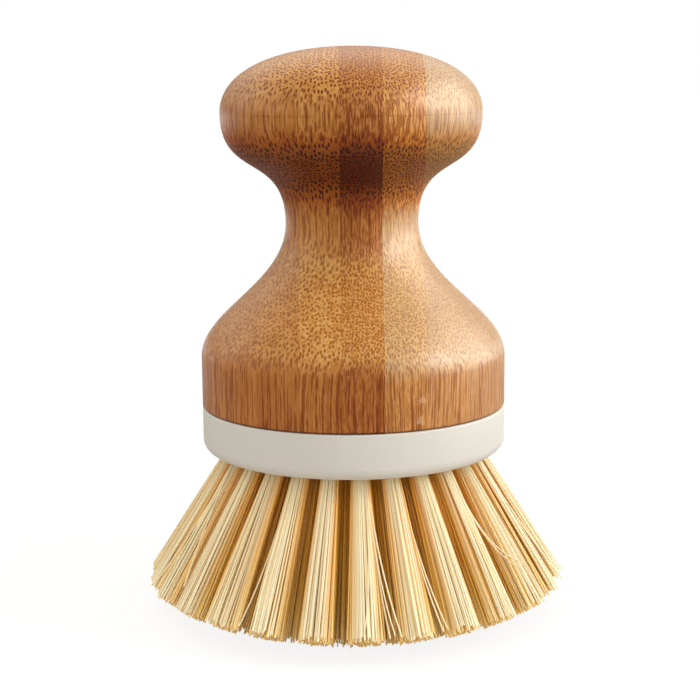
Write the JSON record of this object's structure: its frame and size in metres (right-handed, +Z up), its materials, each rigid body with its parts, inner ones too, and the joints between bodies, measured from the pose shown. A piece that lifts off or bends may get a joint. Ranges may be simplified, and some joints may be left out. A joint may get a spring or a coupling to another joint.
{
  "type": "vegetable brush",
  "caption": "Palm vegetable brush with a turned laminated bamboo knob handle and a round screw-on head of flared natural fibre bristles.",
  "frame": {"origin": "on the brush's axis at the flat middle of the trimmed bristle ends, where it stands", "axes": "+Z up along the brush's axis from the bristle ends to the knob; the bamboo laminae are stacked along X; -Y faces the picture's view"},
  "size_m": [0.0782, 0.0782, 0.1034],
  "materials": {
    "bamboo_light": "satin lacquer",
    "bamboo_dark": "satin lacquer",
    "block_white": "satin moulded",
    "socket_nylon": "moulded",
    "seal_rubber": "matt",
    "fibre": "stiff natural fibre strands"
  },
  "bodies": {
    "handle": {"bamboo_strip_1_base": "bamboo_light", "bamboo_strip_2_base": "bamboo_dark", "bamboo_strip_2_knob": "bamboo_dark", "bamboo_strip_3": "bamboo_light", "bamboo_strip_4": "bamboo_light", "bamboo_strip_5": "bamboo_dark", "bamboo_strip_6": "bamboo_light", "bamboo_strip_7_base": "bamboo_light", "bamboo_strip_7_knob": "bamboo_light", "bamboo_strip_8_base": "bamboo_light", "bamboo_strip_8_knob": "bamboo_light", "threaded_socket": "socket_nylon"},
    "seal": {"seal_washer": "seal_rubber"},
    "head": {"tufting_block": "block_white", "outer_tuft_01": "fibre", "outer_tuft_02": "fibre", "outer_tuft_03": "fibre", "outer_tuft_04": "fibre", "outer_tuft_05": "fibre", "outer_tuft_06": "fibre", "outer_tuft_07": "fibre", "outer_tuft_08": "fibre", "outer_tuft_09": "fibre", "outer_tuft_10": "fibre", "outer_tuft_11": "fibre", "outer_tuft_12": "fibre", "outer_tuft_13": "fibre", "outer_tuft_14": "fibre", "outer_tuft_15": "fibre", "outer_tuft_16": "fibre", "outer_tuft_17": "fibre", "outer_tuft_18": "fibre", "outer_tuft_19": "fibre", "outer_tuft_20": "fibre", "outer_tuft_21": "fibre", "outer_tuft_22": "fibre", "outer_tuft_23": "fibre", "outer_tuft_24": "fibre", "outer_tuft_25": "fibre", "outer_tuft_26": "fibre", "second_row_tufts": "fibre", "third_row_tufts": "fibre", "middle_tufts": "fibre"}
  },
  "joints": [
    {"name": "head_travel", "type": "slide", "parent": "handle", "child": "seal", "axis": [0, 0, -1], "range_m": [0, 0.009]},
    {"name": "head_unscrew", "type": "hinge", "parent": "seal", "child": "head", "pos_m": [0, 0, 0.038], "axis": [0, 0, -1], "range_deg": [0, 1080]}
  ],
  "couplings": [
    {"joint": "head_travel", "follows": "head_unscrew", "m_per_rad": 0.00047746}
  ]
}
